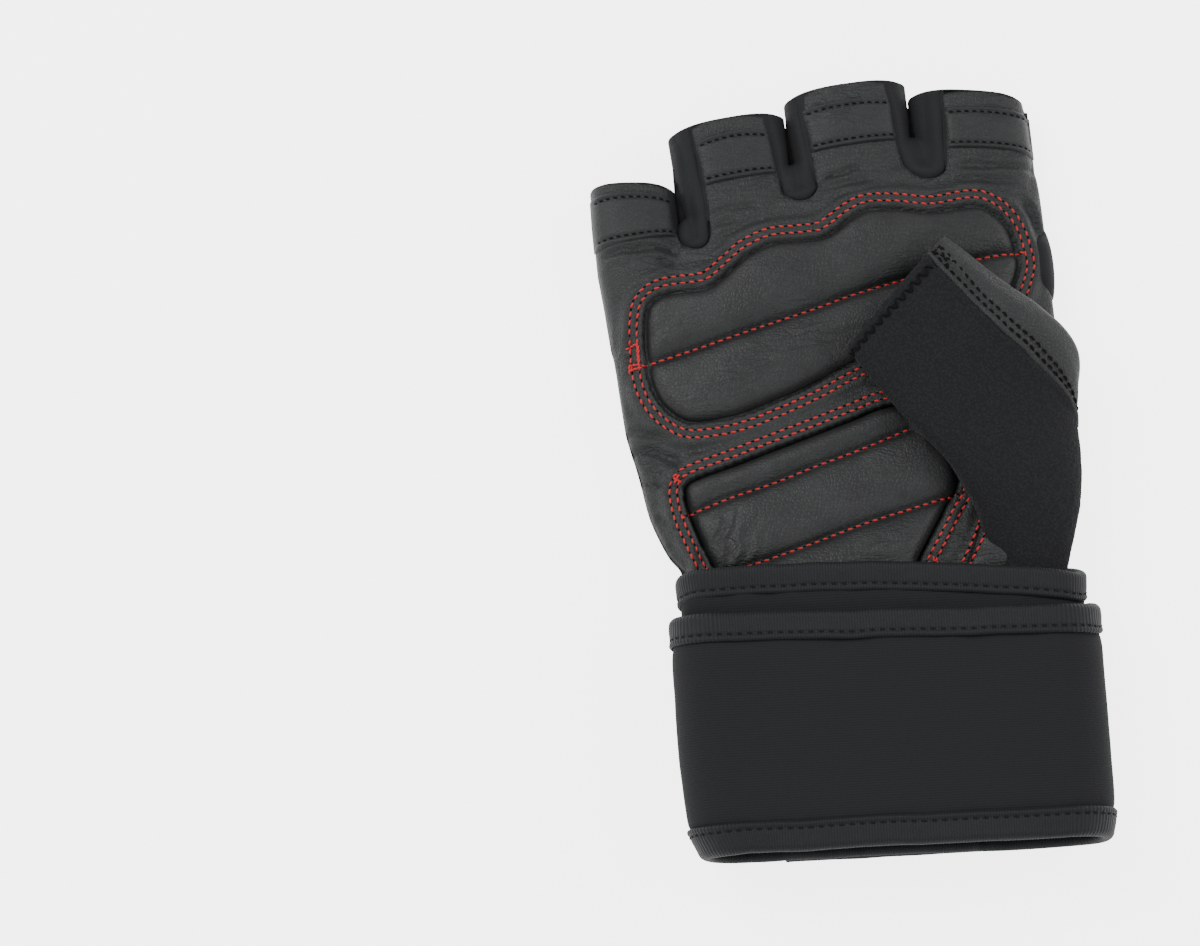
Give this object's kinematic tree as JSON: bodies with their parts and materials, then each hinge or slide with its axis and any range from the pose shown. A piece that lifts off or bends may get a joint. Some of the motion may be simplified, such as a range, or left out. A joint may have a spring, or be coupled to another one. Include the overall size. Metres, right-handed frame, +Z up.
{
  "type": "weightlifting glove",
  "caption": "Fingerless padded leather lifting glove for the right hand with a wide wrist wrap, lying palm up with its thumb folded over the palm.",
  "frame": {"origin": "under the middle of the whole glove's bounding box, on the surface that it lies on", "axes": "+Y from the wrist to the fingers, +Z up out of the palm, +X towards the thumb side"},
  "size_m": [0.1161, 0.19, 0.0302],
  "materials": {
    "leather": "soft grained leather, satin",
    "stretch_fabric": "smooth stretch knit, matt",
    "towelling": "looped towelling, matt",
    "neoprene": "knit-faced neoprene, matt",
    "tape": "ribbed binding tape, matt",
    "hook_and_loop": "hook and loop, matt"
  },
  "bodies": {
    "root": {"palm_leather": "leather", "back_panel": "stretch_fabric", "gusset_little_ring": "stretch_fabric", "gusset_ring_middle": "stretch_fabric", "gusset_middle_index": "stretch_fabric", "finger_band_little": "leather", "finger_band_ring": "leather", "finger_band_middle": "leather", "finger_band_index": "leather", "upper_palm_pad": "leather", "lower_palm_pad": "leather", "thumb_base_pad": "leather", "thumb_leather": "leather", "thumb_towelling": "towelling", "inner_cuff": "neoprene", "inner_cuff_binding": "tape", "wrist_strap": "neoprene", "strap_top_binding": "tape", "strap_bottom_binding": "tape", "strap_closure": "hook_and_loop"}
  },
  "joints": []
}
